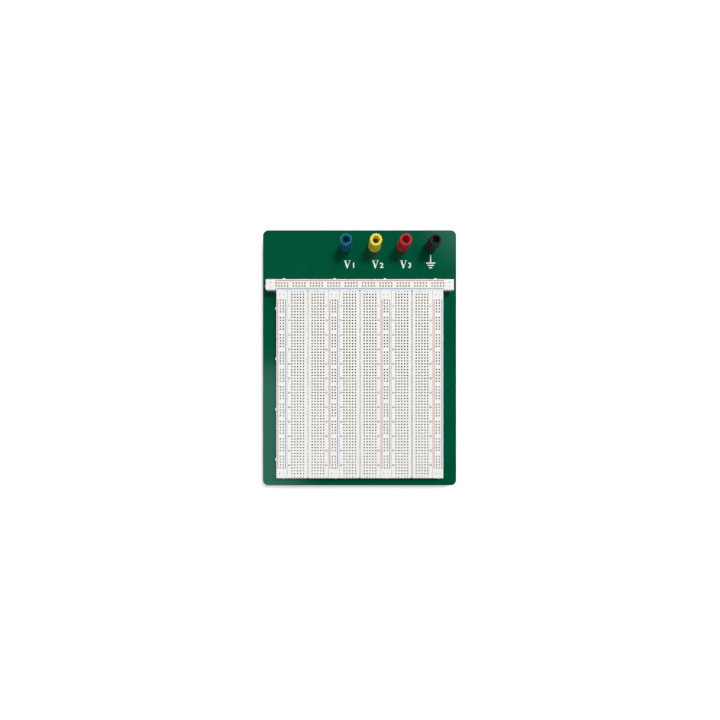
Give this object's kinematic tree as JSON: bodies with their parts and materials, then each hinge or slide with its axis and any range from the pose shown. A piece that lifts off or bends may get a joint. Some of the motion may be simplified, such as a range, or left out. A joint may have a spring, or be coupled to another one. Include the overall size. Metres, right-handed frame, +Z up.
{
  "type": "solderless breadboard",
  "caption": "Bench solderless breadboard: plug-in terminal and bus strips on an enamelled base plate with screw-down binding posts and rubber feet.",
  "frame": {"origin": "under the middle of the base plate, on the surface that the rubber feet stand on", "axes": "+Z up out of the strips' faces; +Y along the plate's long side towards the binding posts; +X to the right as seen from above"},
  "size_m": [0.175, 0.231, 0.0339],
  "materials": {
    "green_enamel": "smooth dark green enamel on sheet metal",
    "white_plastic": "moulded warm white plastic, fine matt",
    "foam_tape": "double-sided foam tape",
    "spring_alloy": "plated spring sheet",
    "black_rubber": "matt moulded rubber",
    "blue_plastic": "moulded blue plastic",
    "yellow_plastic": "moulded yellow plastic",
    "red_plastic": "moulded red plastic",
    "black_plastic": "moulded black plastic",
    "black_insulator": "moulded black insulating plastic",
    "turned_brass": "turned brass",
    "nickel_plate": "nickel-plated brass",
    "tinned_brass": "tinned brass sheet"
  },
  "bodies": {
    "board": {"base_plate": "green_enamel", "foot_rear_left": "black_rubber", "foot_rear_right": "black_rubber", "foot_front_left": "black_rubber", "foot_front_right": "black_rubber", "bus_strip_top": "white_plastic", "bus_strip_1": "white_plastic", "bus_strip_2": "white_plastic", "bus_strip_3": "white_plastic", "bus_strip_4": "white_plastic", "terminal_strip_1": "white_plastic", "terminal_strip_2": "white_plastic", "terminal_strip_3": "white_plastic", "foam_pad_bus_top": "foam_tape", "foam_pad_bus_1": "foam_tape", "foam_pad_bus_2": "foam_tape", "foam_pad_bus_3": "foam_tape", "foam_pad_bus_4": "foam_tape", "foam_pad_terminal_1": "foam_tape", "foam_pad_terminal_2": "foam_tape", "foam_pad_terminal_3": "foam_tape", "bus_top_rail_red": "spring_alloy", "bus_top_rail_blue": "spring_alloy", "bus_1_rail_red": "spring_alloy", "bus_1_rail_blue": "spring_alloy", "bus_2_rail_red": "spring_alloy", "bus_2_rail_blue": "spring_alloy", "bus_3_rail_red": "spring_alloy", "bus_3_rail_blue": "spring_alloy", "bus_4_rail_red": "spring_alloy", "bus_4_rail_blue": "spring_alloy", "blue_post_stud": "nickel_plate", "blue_post_collar": "blue_plastic", "blue_post_washer": "black_insulator", "blue_post_lug": "tinned_brass", "blue_post_nut": "nickel_plate", "yellow_post_stud": "nickel_plate", "yellow_post_collar": "yellow_plastic", "yellow_post_washer": "black_insulator", "yellow_post_lug": "tinned_brass", "yellow_post_nut": "nickel_plate", "red_post_stud": "nickel_plate", "red_post_collar": "red_plastic", "red_post_washer": "black_insulator", "red_post_lug": "tinned_brass", "red_post_nut": "nickel_plate", "black_post_stud": "nickel_plate", "black_post_collar": "black_plastic", "black_post_washer": "black_insulator", "black_post_lug": "tinned_brass", "black_post_nut": "nickel_plate"},
    "blue_post_insert": {"blue_post_insert": "turned_brass"},
    "blue_post_cap": {"blue_post_cap": "blue_plastic"},
    "yellow_post_insert": {"yellow_post_insert": "turned_brass"},
    "yellow_post_cap": {"yellow_post_cap": "yellow_plastic"},
    "red_post_insert": {"red_post_insert": "turned_brass"},
    "red_post_cap": {"red_post_cap": "red_plastic"},
    "black_post_insert": {"black_post_insert": "turned_brass"},
    "black_post_cap": {"black_post_cap": "black_plastic"}
  },
  "joints": [
    {"name": "blue_cap_rise", "type": "slide", "parent": "board", "child": "blue_post_insert", "axis": [0, 0, 1], "range_m": [0, 0.00525]},
    {"name": "blue_cap_turn", "type": "hinge", "parent": "blue_post_insert", "child": "blue_post_cap", "pos_m": [-0.0119, 0.1008, 0.026], "axis": [0, 0, 1], "range_deg": [0, 2520]},
    {"name": "yellow_cap_rise", "type": "slide", "parent": "board", "child": "yellow_post_insert", "axis": [0, 0, 1], "range_m": [0, 0.00525]},
    {"name": "yellow_cap_turn", "type": "hinge", "parent": "yellow_post_insert", "child": "yellow_post_cap", "pos_m": [0.0135, 0.1008, 0.026], "axis": [0, 0, 1], "range_deg": [0, 2520]},
    {"name": "red_cap_rise", "type": "slide", "parent": "board", "child": "red_post_insert", "axis": [0, 0, 1], "range_m": [0, 0.00525]},
    {"name": "red_cap_turn", "type": "hinge", "parent": "red_post_insert", "child": "red_post_cap", "pos_m": [0.0389, 0.1008, 0.026], "axis": [0, 0, 1], "range_deg": [0, 2520]},
    {"name": "black_cap_rise", "type": "slide", "parent": "board", "child": "black_post_insert", "axis": [0, 0, 1], "range_m": [0, 0.00525]},
    {"name": "black_cap_turn", "type": "hinge", "parent": "black_post_insert", "child": "black_post_cap", "pos_m": [0.0643, 0.1008, 0.026], "axis": [0, 0, 1], "range_deg": [0, 2520]}
  ],
  "couplings": [
    {"joint": "blue_cap_turn", "follows": "blue_cap_rise", "rad_per_m": 8377.6},
    {"joint": "yellow_cap_turn", "follows": "yellow_cap_rise", "rad_per_m": 8377.6},
    {"joint": "red_cap_turn", "follows": "red_cap_rise", "rad_per_m": 8377.6},
    {"joint": "black_cap_turn", "follows": "black_cap_rise", "rad_per_m": 8377.6}
  ]
}
